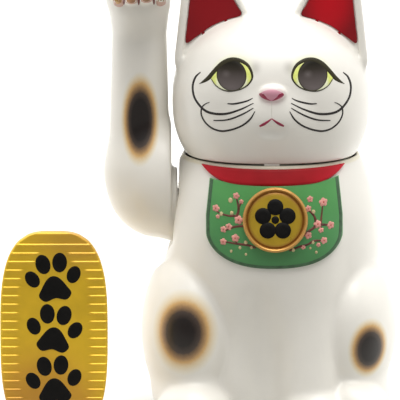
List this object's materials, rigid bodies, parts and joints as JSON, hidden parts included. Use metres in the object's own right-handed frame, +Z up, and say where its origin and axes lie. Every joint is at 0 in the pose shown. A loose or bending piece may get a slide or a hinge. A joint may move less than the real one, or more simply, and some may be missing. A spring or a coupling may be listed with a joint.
{
  "type": "beckoning cat figurine",
  "caption": "Seated cat figurine with a raised right arm that swings on a pendulum drive, a lift-off head, a bib with a medal and a loose oval coin.",
  "frame": {"origin": "on the ground under the middle of the neck, on the flat underside of the bottom plate", "axes": "+Z up, the face looks to -Y, the cat's raised right arm is on the -X side"},
  "size_m": [0.1522, 0.0925, 0.1852],
  "materials": {
    "white_plastic": "smooth white with painted markings",
    "base_plastic": "plain moulded",
    "ring_plastic": "plain moulded",
    "collar_red": "satin",
    "bib_green": "satin with painted blossoms",
    "medal_gold": "gold paint",
    "ear_red": "satin",
    "brass": "turned",
    "steel": "bright",
    "weight_steel": "plain",
    "black_plastic": "moulded",
    "board_green": "laminate",
    "copper": "enamelled wire",
    "cell_jacket": "printed jacket, plain",
    "lead_red": "insulated wire",
    "lead_black": "insulated wire",
    "coin_gold": "gold paint"
  },
  "bodies": {
    "body": {"body_front_shell": "white_plastic", "body_back_shell": "white_plastic", "base_plate": "base_plastic", "neck_ring": "ring_plastic", "collar": "collar_red", "bib": "bib_green", "medal": "medal_gold", "shoulder_bush": "ring_plastic", "inner_bush": "brass", "bracket": "black_plastic", "bracket_screws": "steel", "circuit_board": "board_green", "board_screws": "steel", "capacitor": "black_plastic", "driver_chip": "black_plastic", "coil_bobbin": "black_plastic", "coil_winding": "copper", "battery_holder": "black_plastic", "battery_cell": "cell_jacket", "contact_spring": "steel", "contact_plate": "steel", "battery_door": "base_plastic", "door_screw": "steel", "switch_housing": "black_plastic", "lead_red": "lead_red", "lead_black": "lead_black"},
    "arm": {"arm_front_shell": "white_plastic", "arm_back_shell": "white_plastic", "arm_hub": "ring_plastic", "arm_axle": "steel", "axle_clip": "steel", "pendulum_lever": "black_plastic", "counterweight": "weight_steel", "weight_screw": "steel", "magnet": "steel"},
    "head": {"head_front_shell": "white_plastic", "head_back_shell": "white_plastic", "ear_insert_right": "ear_red", "ear_insert_left": "ear_red"},
    "switch": {"switch_knob": "black_plastic"},
    "coin": {"koban": "coin_gold"}
  },
  "joints": [
    {"name": "arm_swing", "type": "hinge", "parent": "body", "child": "arm", "pos_m": [-0.03, 0, 0.0805], "axis": [1, 0, 0], "range_deg": [-10, 20]},
    {"name": "head_lift", "type": "slide", "parent": "body", "child": "head", "axis": [0, 0, 1], "range_m": [0, 0.03]},
    {"name": "switch_slide", "type": "slide", "parent": "body", "child": "switch", "axis": [0, 1, 0], "range_m": [0, 0.003]},
    {"name": "coin_lift", "type": "slide", "parent": "body", "child": "coin", "axis": [0, 0, 1], "range_m": [0, 0.05]}
  ]
}
